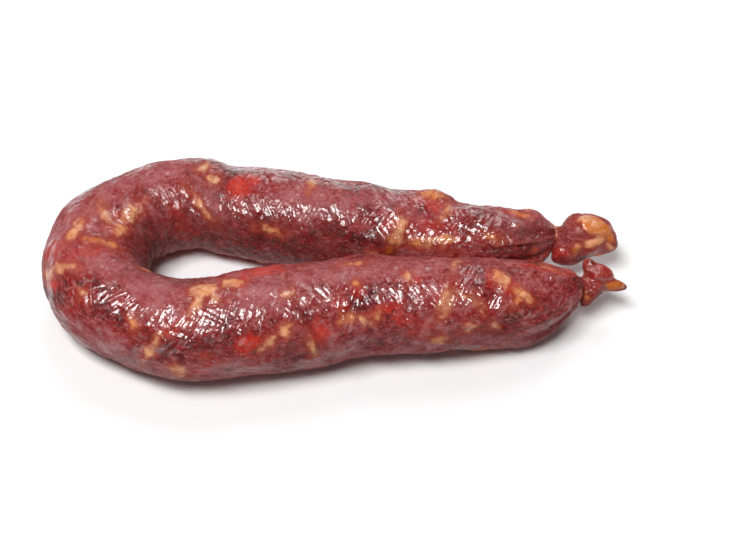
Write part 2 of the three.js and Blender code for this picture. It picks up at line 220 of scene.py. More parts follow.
# Wet patches, where the crumpled film throws back the light: x, y, length, width, angle, strength.
GLOSS_MARKS = [
    (120, 215, 26, 22, 50, 1.0), (172, 194, 34, 12, -15, 1.0), (190, 207, 36, 22, -40, 1.0),
    (238, 209, 34, 18, -15, 1.2), (262, 206, 34, 20, -25, 1.2), (296, 211, 32, 14, -5, 1.2),
    (327, 213, 30, 15, -10, 1.2), (344, 219, 16, 28, -40, 1.0), (386, 222, 26, 46, 0, 0.9),
    (428, 234, 50, 22, 0, 1.1), (465, 220, 34, 30, 30, 1.1), (495, 222, 30, 22, -10, 1.1),
    (100, 292, 20, 14, 30, 0.7), (120, 303, 34, 26, 30, 1.1), (112, 283, 16, 10, 20, 0.8),
    (166, 311, 26, 14, 25, 1.0), (184, 329, 20, 34, 60, 1.1), (212, 317, 36, 34, 50, 1.1),
    (250, 321, 30, 22, 20, 1.2), (236, 318, 30, 22, 30, 0.8), (232, 287, 16, 8, 0, 1.0),
    (300, 302, 32, 30, 30, 1.2),
    (325, 303, 30, 36, -50, 1.2), (356, 298, 24, 26, 20, 1.2), (387, 290, 32, 24, 0, 0.9),
    (425, 296, 44, 28, -10, 1.1), (472, 278, 26, 30, -30, 1.1), (468, 292, 24, 18, 0, 0.9),
    (497, 299, 18, 18, 30, 1.2), (530, 315, 18, 8, 0, 0.9), (215, 345, 70, 20, 10, 0.5),
    (590, 223, 34, 20, -28, 0.8), (600, 268, 34, 20, 0, 1.0), (590, 290, 24, 26, 0, 0.6),
    (612, 285, 26, 10, 0, 0.7), (562, 232, 24, 24, 0, 0.7), (580, 255, 40, 14, -10, 0.7),
    (150, 345, 60, 30, -20, 0.4), (350, 330, 40, 20, 0, 0.35), (430, 330, 60, 20, 0, 0.3),
    (240, 166, 90, 8, -8, 1.1), (330, 180, 90, 8, -9, 1.1), (400, 191, 60, 8, -8, 0.8),
    (140, 166, 60, 8, 25, 0.35), (480, 207, 60, 8, -8, 0.7), (80, 190, 60, 8, 45, 0.6),
    (120, 352, 50, 14, -30, 0.5),
    (235, 373, 110, 7, 4, 1.0), (335, 357, 90, 7, 12, 1.0), (440, 347, 90, 6, 0, 0.7),
    (550, 325, 60, 8, 30, 0.7), (47, 270, 70, 8, 90, 0.7), (70, 335, 60, 8, -50, 0.7),
    (135, 365, 70, 8, -25, 0.8), (175, 268, 50, 6, -5, 0.8),
]
# Sets of parallel folds in the casing: x, y, the reach of the set along its folds and across them,
# the angle of the folds and their spacing (pixels and degrees), and their height in millimetres.
FOLD_SETS = [
    (172, 312, 18, 24, 42, 6.5, 0.24), (187, 328, 34, 34, 63, 8.0, 0.34),
    (218, 322, 40, 44, 62, 7.5, 0.32), (245, 330, 30, 24, 70, 6.0, 0.2),
    (300, 302, 34, 26, 40, 7.0, 0.3), (322, 306, 34, 30, -52, 7.5, 0.3),
    (352, 298, 24, 24, 35, 6.0, 0.22), (236, 208, 30, 16, -35, 6.0, 0.26),
    (262, 206, 30, 16, -38, 5.5, 0.24), (344, 220, 30, 16, -42, 6.0, 0.24),
    (198, 205, 30, 16, -55, 6.5, 0.3), (125, 212, 18, 26, 62, 5.5, 0.22),
    (165, 195, 24, 24, -50, 6.0, 0.2), (115, 300, 28, 30, 40, 7.0, 0.24),
    (122, 323, 26, 20, 62, 6.0, 0.22), (425, 290, 30, 26, -50, 6.0, 0.24),
    (470, 285, 36, 20, 62, 7.0, 0.3), (482, 300, 30, 18, -55, 6.0, 0.26),
    (430, 230, 22, 40, 50, 6.0, 0.2), (485, 218, 22, 30, 35, 6.0, 0.22),
    (498, 248, 70, 14, 4, 4.5, 0.16), (540, 334, 60, 18, 28, 6.0, 0.26),
    (565, 310, 40, 14, 60, 5.0, 0.24), (540, 219, 20, 14, -48, 4.0, 0.24),
]
# Single dents and ridges: x, y, length, width, angle, and height in millimetres.
DENTS = [
    (309, 318, 42, 9, -62, -1.5), (456, 287, 26, 5, 55, -1.2), (463, 282, 26, 6, 55, 0.8),
    (490, 300, 22, 12, 60, -0.5), (252, 187, 30, 8, 70, -0.5), (327, 186, 30, 9, -50, -0.5),
    (196, 195, 34, 8, -55, -0.5), (207, 208, 30, 7, -52, 0.3), (360, 345, 50, 9, 5, -0.4),
    (420, 212, 30, 14, 0, -0.3), (457, 200, 22, 8, 60, -0.4), (140, 222, 26, 8, -50, -0.4),
    (88, 262, 60, 8, 12, -0.3), (330, 350, 26, 8, -70, -0.5), (546, 274, 66, 4, -14, 1.0),
    (545, 267, 74, 6, -13, -1.2), (582, 234, 34, 4, -55, -0.6), (590, 238, 26, 4, -10, -0.7),
    (592, 223, 28, 14, -28, 0.5), (597, 244, 20, 8, 18, 0.4), (562, 246, 6, 22, 20, -0.6),
    (592, 279, 30, 4, -20, -0.9), (589, 290, 4, 22, 15, -0.4), (604, 282, 5, 16, -20, -0.4),
    (522, 248, 76, 4, 6, -0.9), (524, 243, 64, 4, 8, 0.4), (500, 327, 90, 4, 12, -0.5),
    (520, 331, 90, 4, 16, 0.4), (535, 324, 70, 4, 30, -0.5), (552, 316, 50, 4, 42, 0.4),
    (340, 352, 60, 4, 9, 0.5), (280, 360, 60, 4, 9, 0.4), (310, 357, 50, 3, 9, -0.4),
]
# The sides that the picture doesn't show have the same kinds of marks, drawn at random.
HIDDEN_FAT, HIDDEN_RED, HIDDEN_SEED = 90, 40, 7
HIDDEN_LENGTH, HIDDEN_WIDTH = (3.0, 10.0), (2.0, 4.5)
FIELD_RANGE = 3.0             # how far a mark's distance is told, either way
MARK_DEPTH = 5.0              # how far through the sausage a mark on its skin still counts
FILM_SLANT = 0.11             # radians that the film's wrinkles turn round in each millimetre
OTHER_SLANT = -0.75 * FILM_SLANT
WRINKLE_SIZE, WRINKLE_HEIGHT = 6.6, 2.9
FACET_SIZE, FACET_HEIGHT = 2.5, 0.46
GRAIN_SIZE, GRAIN_HEIGHT = 0.8, 0.13
FAT_LIFT = 0.3                # how much a piece of fat lifts the casing

# Colours as the eye reads them in even white light, 0 to 255.
DARK_MEAT = (80, 12, 14)
RED_MEAT = (136, 29, 29)
MAUVE_MEAT = (150, 68, 71)
# painted shade: the dark red that the low outer side is pulled towards, and how far
LOW_PAINTED_SHADE, LOW_SHADE_SHARE = (48, 10, 10), 0.3
PALE_SPECK = (190, 122, 116)
FILM = (178, 112, 116)
# the dried film's olive grey, which low on the near leg also stands as painted shade
DRY_FILM_AND_SHADE = (98, 58, 53)
PAPRIKA = (192, 42, 28)
PAPRIKA_CORE = (204, 74, 54)
CREAM_FAT = (228, 172, 130)
ORANGE_FAT = (208, 110, 38)
FAT_EDGE = (158, 60, 44)
TABLE_WHITE = (251, 251, 251)
TABLE_GRAIN = (253, 253, 254)

# What is the same all over the casing: a glassy film over softly lit meat.
CASING_FINISH = {
    "Coat IOR": 1.8, "Coat Roughness": 0.1, "Specular IOR Level": 0.12, "Sheen Weight": 0.04,
    "Sheen Roughness": 0.4, "Subsurface Weight": 0.2, "Subsurface Radius": (1.0, 0.35, 0.2),
    "Subsurface Scale": 0.9 * MM,
}
# The soft lights: degrees off the vertical and round from the camera's side, metres, and watts.
NEAR_LIGHT = {"lean": 20.0, "turn": -42.0, "distance": 1.2, "size": (0.68, 0.36), "watts": 13.8}
FAR_LIGHT = {"lean": 44.0, "turn": 168.0, "distance": 1.2, "size": (0.8, 0.8), "watts": 5.4}
ROOM_LOW, ROOM_HIGH = 0.65, 0.06      # how bright the room is low down and overhead
TABLE_REACH = 2.5


def smooth(u):
    """0 below 0, 1 above 1, and an S-curve between."""
    u = np.clip(u, 0, 1)
    return u * u * (3 - 2 * u)


def bell(u):
    """1 at 0, falling away either side by e to minus half the square."""
    return np.exp(-0.5 * u ** 2)


def wrap(angle):
    """An angle in radians, brought between minus and plus half a turn."""
    return (angle + np.pi) % (2 * np.pi) - np.pi


def draws(seed):
    """A repeatable stream of numbers from 0 to 1."""
    state = seed
    while True:
        state = (1664525 * state + 1013904223) % 2 ** 32
        yield state / 2 ** 32


def unit(vectors):
    """The vectors, each made one long."""
    return vectors / np.linalg.norm(vectors, axis=-1, keepdims=True)


def noise(points, seed):
    """Gradient noise: each corner of the unit cells has a random direction, and the dot products with the
    offsets from the eight corners are blended by 6t^5 - 15t^4 + 10t^3. It runs from about -1 to 1."""
    rng = np.random.default_rng(seed)
    order = rng.permutation(256)
    slopes = unit(rng.normal(size=(256, 3)))
    cell = np.floor(points).astype(np.int64)
    offset = points - cell
    blend = offset ** 3 * (offset * (offset * 6 - 15) + 10)
    total = np.zeros(points.shape[:-1])
    for corner in itertools.product((0, 1), repeat=3):
        x, y, z = np.moveaxis((cell + corner) & 255, -1, 0)
        slope = slopes[order[(order[(order[x] + y) & 255] + z) & 255]]
        weight = np.prod(np.where(corner, blend, 1 - blend), axis=-1)
        total += weight * np.sum(slope * (offset - corner), axis=-1)
    return total * 1.5


def layered(points, seed, octaves=3, gain=0.5):
    """Noise at several scales, each half as large and gain times as high as the last."""
    scales = range(octaves)
    return sum(gain ** k * noise(points * 2 ** k, seed + k) for k in scales)


def creased(points, seed):
    """Noise folded at zero, so that it has sharp valleys: 0 in a valley, towards 1 between them."""
    return np.minimum(np.abs(noise(points, seed)) * 2.2, 1)


# The coarse form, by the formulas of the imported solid

def measured_route():
    """A Catmull-Rom curve through the route with its ends mirrored, in short steps, and the distance
    walked at each step."""
    points = np.vstack([2 * ROUTE[0] - ROUTE[1], ROUTE, 2 * ROUTE[-1] - ROUTE[-2]])
    spans = len(ROUTE) - 1
    t = np.linspace(0, spans, spans * STEPS_PER_POINT + 1)
    i = np.minimum(t.astype(int), spans - 1)
    f = (t - i)[:, None]
    a, b, c, d = (points[i + k] for k in range(4))
    curve = 0.5 * (2 * b + (c - a) * f + (2 * a - 5 * b + 4 * c - d) * f ** 2
                   + (3 * b - a - 3 * c + d) * f ** 3)
    steps = np.linalg.norm(np.diff(curve[:, :2], axis=0), axis=1)
    return np.concatenate([[0], np.cumsum(steps)]), curve


WALKED, CURVE = measured_route()
LENGTH = WALKED[-1]


def along(s):
    """x, y and radius at distances s along the route."""
    return [np.interp(s, WALKED, CURVE[:, k]) for k in range(3)]


def heading(s):
    """The direction of the route at s, as unit vectors on the table."""
    x1, y1, _ = along(np.maximum(s - 0.5, 0))
    x2, y2, _ = along(np.minimum(s + 0.5, LENGTH))
    return unit(np.stack([x2 - x1, y2 - y1, np.zeros_like(x1)], -1))


def fullness(distance, taper):
    """0 at a pinch and 1 beyond the taper: a superellipse of power TAPER_POWER."""
    u = np.clip(distance / taper, 0, 1)
    return (1 - (1 - u) ** TAPER_POWER) ** (1 / TAPER_POWER)


def end_share(s):
    """How full the body is at s, both pinches counted."""
    return fullness(s, FAR_PINCH["taper"]) * fullness(LENGTH - s, NEAR_PINCH["taper"])


def fade(s, from_and_over):
    """0 near both pinches and 1 between them."""
    start, over = from_and_over
    return smooth((s - start) / over) * smooth((LENGTH - s - start) / over)


def drawn_lumps():
    """The filling's lumps: place, angle, reaches and height, each drawn between its limits."""
    draw = draws(LUMP_SEED)
    limits = [(0, LENGTH), (-180, 180), LUMP_ALONG, LUMP_AROUND, LUMP_HEIGHT]
    rows = ([low + (high - low) * next(draw) for low, high in limits] for _ in range(LUMP_COUNT))
    return [(*row, 0) for row in rows]


def soft_bumps(rows, s, angle):
    """A sum of Gaussian bumps: height times e to minus half the squares of the shares of the reaches."""
    total = np.zeros(np.broadcast(s, angle).shape)
    for place, degrees, reach_along, reach_round, peak, turn in rows:
        off = wrap(angle - np.radians(degrees + turn * (s - place)))
        total += peak * np.exp(-0.5 * ((s - place) / reach_along) ** 2
                               - 0.5 * (off * TURN_RADIUS / reach_round) ** 2)
    return total


def body_radius(s):
    """The smooth radius of the body at s: the pinch's, growing to the route's by the fullness."""
    pinch = np.where(s < LENGTH / 2, FAR_PINCH["radius"], NEAR_PINCH["radius"])
    return pinch + (along(s)[2] - pinch) * end_share(s)


def body_points(s, angle, extra):
    """Rings round the middle line: out = reach sin(angle) to the side and reach OVAL cos(angle) up, cut off
    at the table and where the legs meet. extra is added to the reach."""
    x, y, radius = (v[:, None] for v in along(s))
    column, row = s[:, None], angle[None, :]
    reach = (body_radius(s)[:, None] + extra
             + soft_bumps(drawn_lumps() + SWELLINGS, column, row) * fade(column, LUMP_FADE)
             + soft_bumps(PLEATS, column, row) * fade(column, PLEAT_FADE))
    pinch = np.where(column < LENGTH / 2, FAR_PINCH["height"], NEAR_PINCH["height"])
    height = pinch + (radius * OVAL - PRESS - pinch) * end_share(column)
    forward = heading(s)
    out = reach * np.sin(row)
    px = x + out * forward[:, 1:2]
    py = y - out * forward[:, 0:1]
    pz = np.maximum(height + reach * OVAL * np.cos(row), 0)
    close = px > CONTACT_FROM_X
    far = column < LENGTH / 2
    py = np.where(close & far, np.maximum(py, CONTACT_Y + CONTACT_GAP), py)
    py = np.where(close & ~far, np.minimum(py, CONTACT_Y - CONTACT_GAP), py)
    return np.stack([px, py, pz], -1)


def knob_points(knob, ring, pinch_radius, away, turn, angle, extra):
    """A star-shaped lump round the knob's centre: an ellipsoid plus, in each direction, a lobe
    height e^(sharpness (cos - 1)). Its rings run from the pinch ring, polar angle start, to the tip,
    and it grows out of the pinch ring over KNOB_JOIN degrees."""
    centre = np.array(knob["centre"])
    side = np.array([away[1], -away[0], 0.0]) * turn
    start = math.atan2(pinch_radius, np.linalg.norm(centre - ring.mean(0)))
    polar = (start + (math.pi - start) * np.arange(1, KNOB_ROWS + 1) / KNOB_ROWS)[:, None, None]
    turned = angle[None, :, None]
    direction = (-np.cos(polar) * away + np.sin(polar) * np.sin(turned) * side
                 + np.sin(polar) * np.cos(turned) * np.array([0.0, 0.0, 1.0]))
    local = direction @ SLOPE.T
    reach = 1 / np.linalg.norm(local / np.array(knob["base"]), axis=-1)
    for towards, height, sharpness in knob["lobes"]:
        reach = reach + height * np.exp(sharpness * (local @ unit(np.array(towards)) - 1))
    grown = smooth((polar - start) / math.radians(KNOB_JOIN))
    star = centre + direction * (reach + extra)[..., None]
    return ring * (1 - grown) + star * grown


# The finer relief of the skin

def unbent(s, radius, angle):
    """Where a point would be if the sausage were pulled straight along X: s, radius cos, radius sin."""
    return np.stack(np.broadcast_arrays(s, radius * np.cos(angle), radius * np.sin(angle)), -1)


def twisted(points, turn_per_mm):
    """Straight points turned about X by so much in each millimetre, for folds that run round slantwise."""
    x, y, z = np.moveaxis(points, -1, 0)
    cos, sin = np.cos(turn_per_mm * x), np.sin(turn_per_mm * x)
    return np.stack([x, y * cos - z * sin, y * sin + z * cos], -1)


def slant_folds(points, slant, long, wide, seed):
    """Sharp valleys, long millimetres along a helix that leans by slant and wide across it."""
    helix = twisted(points, math.tan(math.radians(slant)) / TURN_RADIUS)
    return creased(helix / np.array([long, wide, wide]), seed) - 0.5


def patches(points, size, seed, low=-0.1, high=0.35):
    """A mask that is 1 in scattered patches of about that size and 0 between them."""
    return smooth((noise(points / size, seed) - low) / (high - low))


def body_relief(points, s, angle):
    """What the drying casing adds to the coarse form, in millimetres of height."""
    height = 0.26 * layered(points / 7.0, 11, 2)
    slanted = patches(points, 14.0, 21)
    for (lean, long, wide, peak, seed), share in zip(SLANT_FOLDS, (slanted, 1 - slanted)):
        height += peak * slant_folds(points, lean, long, wide, seed) * share
    height += 0.16 * (creased(points / 2.6, 51) - 0.5) * (0.5 + 0.5 * patches(points, 9.0, 52))
    height += 0.09 * layered(points / 1.5, 61, 1)
    # the casing is gathered inside the bend
    inside = bell(np.degrees(wrap(angle + math.pi / 2)) / INNER_REACH)
    bend = bell((s - BEND_PLACE) / BEND_REACH)
    wander = 1.6 * noise(points / 9.0, 71)
    gathers = np.abs(np.sin(math.pi * (s + wander) / GATHER_SPACING)) ** 0.7 - 0.6
    height += GATHER_HEIGHT * gathers * inside * bend
    # and pleated towards both pinches
    for at_end, seed in ((s, 81), (LENGTH - s, 82)):
        near_end = bell((at_end - PLEAT_PLACE) / PLEAT_REACH)
        pleats = creased(np.stack(np.broadcast_arrays(
            s / 40, 2.3 * np.cos(angle), 2.3 * np.sin(angle)), -1), seed) - 0.5
        height += PLEAT_HEIGHT * pleats * near_end
    return height


def knob_relief(points, seed, grain):
    """Crumples and crumbs of a knob."""
    height = 0.34 * (creased(points / 5.0, seed) - 0.5)
    height += 0.16 * (creased(points / 2.6, seed + 1) - 0.5)
    height += grain * layered(points / 1.2, seed + 2, 2)
    return height


def skin_grid():
    """The whole skin as rings from the far knob's tip to the near knob's, with the straight place of every
    point: arrays of rows by AROUND by 3."""
    angle = 2 * np.pi * np.arange(AROUND) / AROUND
    s = np.linspace(0, LENGTH, BODY_ROWS)
    straight = unbent(s[:, None], body_radius(s)[:, None], angle[None, :])
    relief = body_relief(straight, s[:, None], angle[None, :]) * fade(s[:, None], (0.0, 2.5))
    body = body_points(s, angle, relief)

    def knob(shape, ring, pinch, away, turn, edge, direction, seed, grain):
        """One knob's rings and their straight places, worked out once plain and once with its relief."""
        plain = knob_points(shape, ring, pinch["radius"], away, turn, angle, 0.0)
        gone = (plain - ring.mean(0)) @ away
        off_axis = np.linalg.norm(plain - ring.mean(0) - gone[..., None] * away, axis=-1)
        places = unbent(edge + direction * gone, off_axis, angle[None, :])
        rough = knob_relief(places, seed, grain)
        return knob_points(shape, ring, pinch["radius"], away, turn, angle, rough), places

    far, far_places = knob(FAR_KNOB, body[0], FAR_PINCH, -heading(s[:1])[0], -1, 0.0, -1, 91, 0.1)
    near, near_places = knob(NEAR_KNOB, body[-1], NEAR_PINCH, heading(s[-1:])[0], 1, LENGTH, 1, 95, 0.03)
    points = np.concatenate([far[::-1], body, near])
    straights = np.concatenate([far_places[::-1], straight, near_places])
    return points, straights


def grid_normals(points):
    """Outward normals of the rings: the cross product of the steps round and along."""
    round_step = np.roll(points, -1, axis=1) - np.roll(points, 1, axis=1)
    along_step = np.gradient(points, axis=0)
    normals = np.cross(along_step, round_step)
    lengths = np.linalg.norm(normals, axis=-1, keepdims=True)
    normals = normals / np.maximum(lengths, 1e-9)
    middle = points.mean(axis=1, keepdims=True)
    outward = np.sign(np.sum(normals * (points - middle), axis=(1, 2)))
    return normals * outward[:, None, None]


# The marks that show through the casing

def pixels(points):
    """Where points fall in the picture: x, y and depth."""
    offset = points - CAMERA_PLACE
    depth = offset @ VIEW_FORWARD
    x = IMAGE_WIDTH / 2 + FOCAL_PIXELS * (offset @ VIEW_RIGHT) / depth
    y = IMAGE_HEIGHT / 2 - FOCAL_PIXELS * (offset @ VIEW_UP) / depth
    return np.stack([x, y, depth], -1)


def seen_vertex(shot, facing, x, y):
    """The index of the point that the picture shows nearest to a pixel."""
    away = np.hypot(shot[:, 0] - x, shot[:, 1] - y) + np.where(facing > 0.05, 0, 1e3)
    close = away < away.min() + 2.0
    return np.flatnonzero(close)[np.argmin(shot[close, 2])]


def tangents(normal):
    """Two directions that lie in the surface."""
    first = unit(np.cross(normal, [0.3, 0.2, 0.93]))
    return np.stack([first, np.cross(normal, first)])


def ellipse_shares(points, centre, normal, axes):
    """How far points are from the middle of an ellipse drawn on the surface, as shares of its two half
    lengths and of its depth through the sausage. axes turns an offset in the surface into the first two."""
    offset = points - centre
    flat = offset @ tangents(normal).T @ axes.T
    return flat[:, 0], flat[:, 1], (offset @ normal) / MARK_DEPTH


def ellipse_distance(points, centre, normal, axes):
    """Millimetres inside (above 0) or outside (below 0) an ellipse drawn on the surface."""
    u, v, through = ellipse_shares(points, centre, normal, axes)
    return (1 - np.hypot(u, v)) / np.linalg.norm(axes, 2) - through ** 2


def window(points, centre, normal, axes):
    """1 in the middle of an ellipse and 1/e on its edge."""
    u, v, through = ellipse_shares(points, centre, normal, axes)
    return np.exp(-u ** 2 - v ** 2 - through ** 2)


def surface_axes(length, width, degrees):
    """The axes of a mark of that length, width and angle in millimetres on the surface."""
    c, s = math.cos(math.radians(degrees)), math.sin(math.radians(degrees))
    return np.diag([2 / length, 2 / width]) @ np.array([(c, s), (-s, c)])


def picture_axes(centre, normal, length, width, degrees):
    """The axes of a mark that the picture shows with that length, width and angle in pixels."""
    basis = tangents(normal)
    step = 0.01
    shot = pixels(np.stack([centre, centre + step * basis[0], centre + step * basis[1]]))[:, :2]
    jacobian = ((shot[1:] - shot[0]) / step).T
    jacobian[1] *= -1
    return surface_axes(length, width, degrees) @ jacobian


class Picture:
    """The skin as the picture's camera sees it, for placing marks by pixel."""

    def __init__(self, points, normals):
        self.points = points.reshape(-1, 3)
        self.normals = normals.reshape(-1, 3)
        self.shot = pixels(self.points)
        self.facing = np.sum(self.normals * unit(CAMERA_PLACE - self.points), axis=-1)

    def spot(self, x, y, length, width, degrees):
        """The place, the normal and the axes of a mark that the picture shows."""
        index = seen_vertex(self.shot, self.facing, x, y)
        centre, normal = self.points[index], self.normals[index]
        return centre, normal, picture_axes(centre, normal, length, width, degrees)

    def hidden_spot(self, draw):
        """The same for a mark drawn at random where the picture doesn't show."""
        index = 0
        while self.facing[index] > -0.05:
            index = int(next(draw) * len(self.points))
        length, width = (low + (high - low) * next(draw) for low, high in (HIDDEN_LENGTH, HIDDEN_WIDTH))
        return self.points[index], self.normals[index], surface_axes(length, width, 180 * next(draw))


def nearest_mark(spots, points):
    """The distance inside the nearest of the marks, and that mark's value."""
    field = np.full(len(points), -FIELD_RANGE)
    tone = np.zeros(len(points))
    for place, value in spots:
        distance = ellipse_distance(points, *place)
        tone = np.where(distance > field, value, tone)
        field = np.maximum(distance, field)
    return np.clip(field, -FIELD_RANGE, FIELD_RANGE), tone


def summed_windows(picture, rows):
    """The sum of the rows' values, each fading out round its place."""
    spots = ((picture.spot(*row[:5]), row[5]) for row in rows)
    return sum(value * window(picture.points, *place) for place, value in spots)


def mark_fields(picture, straights):
    """What every point shows: fat, paprika, tone, dried film, the painted shade of the low side and wet
    patches.
    """
    places = straights.reshape(-1, 3)
    wander = np.stack([0.9 * layered(places / 4.0, 101 + k, 2) for k in range(3)], -1)
    draw = draws(HIDDEN_SEED)
    fields = {}
    for name, rows, count in (("fat", FAT_MARKS, HIDDEN_FAT), ("red", RED_MARKS, HIDDEN_RED)):
        spots = [(picture.spot(*row[:5]), row[5]) for row in rows]
        spots += [(picture.hidden_spot(draw), next(draw)) for _ in range(count)]
        fields[name], fields[name + "_tone"] = nearest_mark(spots, picture.points + wander)
    # tone and dried film both carry painted shade on the low edge as well as the meat's own patches and
    # film
    fields["tone"] = np.clip(summed_windows(picture, TONE_AND_SHADE_MARKS), -1, 1)
    fields["dry_and_shade"] = np.clip(summed_windows(picture, DRY_AND_SHADE_MARKS) + dry_share(straights).ravel(), 0, 1)
    # painted shade: how far down the outer side a point lies; it darkens the colour and also dulls the coat
    fields["low"] = low_share(straights).ravel()
    unseen = smooth(0.5 - 4 * picture.facing) * patches(places, 16.0, 131)
    fields["gloss"] = np.clip(summed_windows(picture, GLOSS_MARKS) + unseen, 0, 1.2)
    return fields


def folded_skin(picture, straights):
    """The height of the fold sets and of the single dents, in millimetres, and which way the folds lean.
    Across a set the height is |sin(pi v / spacing)| with v pushed about by noise, so that folds fork."""
    places = straights.reshape(-1, 3)
    wander = 0.5 * noise(places / 5.0, 121)
    broken = smooth(0.75 + 0.9 * noise(places / 3.2, 122))
    height = np.zeros(len(picture.points))
    lean = np.zeros(len(picture.points))
    for x, y, along_reach, across_reach, degrees, spacing, peak in FOLD_SETS:
        place = picture.spot(x, y, along_reach, across_reach, degrees)
        lean += np.sign(degrees) * window(picture.points, *place)
        _, across, _ = ellipse_shares(picture.points, *place)
        phase = across * across_reach / 2 / spacing + wander
        height += peak * (np.abs(np.sin(math.pi * phase)) - 0.6) * broken * window(picture.points, *place)
    height += summed_windows(picture, DENTS)
    return height, np.clip(lean, -1, 1)


def dry_share(straights):
    """How far the film is dried to olive and grey: inside the bend and low on the far leg's inner side."""
    s, up, out = np.moveaxis(straights, -1, 0)
    off_inside = np.degrees(wrap(np.arctan2(out, up) + math.radians(100)))
    inner = bell(off_inside / INNER_REACH)
    place = smooth((s - 62) / 30) * smooth((232 - s) / 40)
    return 0.7 * inner * place


def low_share(straights):
    """How far a point lies down the outer side, whose colour is darkened there as painted shade: by cos and
    sin of its angle.
    """
    _, up, out = np.moveaxis(straights, -1, 0)
    radius = np.maximum(np.hypot(up, out), 1e-6)
    return smooth((0.6 - up / radius) / 0.7) * smooth(out / radius / 0.3)


def grid_faces(rows, columns):
    """Quads between the rings, and a fan of triangles on each tip."""
    row, column = np.meshgrid(np.arange(rows - 1), np.arange(columns), indexing="ij")
    this = 1 + row * columns + column
    beside = 1 + row * columns + (column + 1) % columns
    quads = np.stack([this, beside, beside + columns, this + columns], -1).reshape(-1, 4)
    ring = np.arange(columns)
    first = np.stack([np.zeros(columns, int), 1 + (ring + 1) % columns, 1 + ring], -1)
    start = 1 + (rows - 1) * columns
    last = np.stack([np.full(columns, start + columns), start + ring, start + (ring + 1) % columns], -1)
    return quads.tolist() + first.tolist() + last.tolist()


def placed(name, data):
    """A new object in the scene, at the origin, for a mesh, a light or a camera."""
    thing = bpy.data.objects.new(name, data)
    bpy.context.scene.collection.objects.link(thing)
    return thing


def build_casing():
    """The skin as one closed mesh with the marks and the straight places as point attributes."""
    points, straights = skin_grid()
    shape = points.shape[:2]
    normals = grid_normals(points)
    picture = Picture(points, normals)
    fields = mark_fields(picture, straights)
    folds, fields["lean"] = folded_skin(picture, straights)
    height = folds + FAT_LIFT * smooth((fields["fat"] + 0.8) / 2.2)
    points = points + normals * height.reshape(*shape, 1) * smooth(points[..., 2:])
    points[..., 2] = np.maximum(points[..., 2], 0)
    # the first and the last ring are a single point each, the tips
    rings = points[1:-1]
    vertices = np.concatenate([points[0, :1], rings.reshape(-1, 3), points[-1, :1]])
    mesh = bpy.data.meshes.new("casing")
    mesh.from_pydata((vertices * MM).tolist(), [], grid_faces(len(rings), AROUND))
    mesh.polygons.foreach_set("use_smooth", np.ones(len(mesh.polygons), bool))

    def spread(values):
        """A grid's values as one for each vertex of the mesh."""
        grid = values.reshape(len(points), AROUND, -1)
        inner = grid[1:-1].reshape(-1, grid.shape[-1])
        return np.concatenate([grid[0, :1], inner, grid[-1, :1]]).ravel()

    skin = mesh.attributes.new("skin", "FLOAT_VECTOR", "POINT")
    skin.data.foreach_set("vector", spread(straights).astype(np.float32))
    for name, values in fields.items():
        attribute = mesh.attributes.new(name, "FLOAT", "POINT")
        attribute.data.foreach_set("value", spread(values).astype(np.float32))
    mesh.update()
    return placed("casing", mesh)


# Materials

def linear(colour):
    """A 0 to 255 colour as the linear one that the shader takes."""
    c = np.array(colour) / 255
    return (*np.where(c <= 0.04045, c / 12.92, ((c + 0.055) / 1.055) ** 2.4).tolist(), 1.0)


class Graph:
    """Adds nodes to a tree. An input that is a socket is linked, and one that is a value is set."""

    def __init__(self, tree):
        self.tree = tree

    def add(self, kind, inputs=(), out=0, **settings):
        """A new node's output."""
        node = self.tree.nodes.new(kind)
        for name, value in settings.items():
            setattr(node, name, value)
        self.feed(node, dict(inputs))
        return node.outputs[out]

    def feed(self, node, inputs):
        """Links or sets a node's inputs."""
        for key, value in inputs.items():
            if isinstance(value, bpy.types.NodeSocket):
                self.tree.links.new(value, node.inputs[key])
            else:
                node.inputs[key].default_value = value

    def math(self, operation, a, b=0.0, c=0.0):
        return self.add("ShaderNodeMath", {0: a, 1: b, 2: c}, operation=operation)

    def times(self, a, b):
        return self.math("MULTIPLY", a, b)

    def times_plus(self, a, b, c):
        """a times b, plus c."""
        return self.math("MULTIPLY_ADD", a, b, c)

    def all_but(self, share, mask):
        """1 where the mask is 0, and 1 less the share where it is 1."""
        return self.math("MULTIPLY_ADD", mask, -share, 1.0)

    def less(self, a, b=0.5):
        """a less b, which is the middle value of noise unless given."""
        return self.math("SUBTRACT", a, b)

    def mix(self, share, a, b):
        """Colour a turning into colour b."""
        return self.add("ShaderNodeMix", {0: share, 6: a, 7: b}, out=2, data_type="RGBA")

    def ramp(self, value, low, high, to_low=0.0, to_high=1.0):
        """An S-curve from to_low at low to to_high at high."""
        ends = {"Value": value, "From Min": low, "From Max": high, "To Min": to_low, "To Max": to_high}
        return self.add("ShaderNodeMapRange", ends, interpolation_type="SMOOTHSTEP")

    def noise(self, vector, size, detail=2.0, roughness=0.5, out=0, **settings):
        """Noise with features of about that many millimetres."""
        values = {"Vector": vector, "Scale": 1 / size, "Detail": detail, "Roughness": roughness}
        return self.add("ShaderNodeTexNoise", values, out=out, **settings)

    def cells(self, vector, size, out="Distance", **settings):
        """Voronoi cells of about that many millimetres."""
        return self.add("ShaderNodeTexVoronoi", {"Vector": vector, "Scale": 1 / size}, out=out, **settings)

    def stretch(self, vector, scale):
        """The vector with its three axes scaled."""
        return self.add("ShaderNodeMapping", {"Vector": vector, "Scale": scale})

    def shift(self, vector, size, amount):
        """The vector pushed about by noise."""
        push = self.noise(vector, size, out="Color")
        centred = self.add("ShaderNodeVectorMath", {0: push, 1: (0.5, 0.5, 0.5)}, operation="SUBTRACT")
        scaled = self.add("ShaderNodeVectorMath", {0: centred, "Scale": amount}, operation="SCALE")
        return self.add("ShaderNodeVectorMath", {0: vector, 1: scaled}, operation="ADD")

    def attribute(self, name, out="Fac"):
        """A point attribute of the mesh."""
        return self.add("ShaderNodeAttribute", out=out, attribute_name=name)


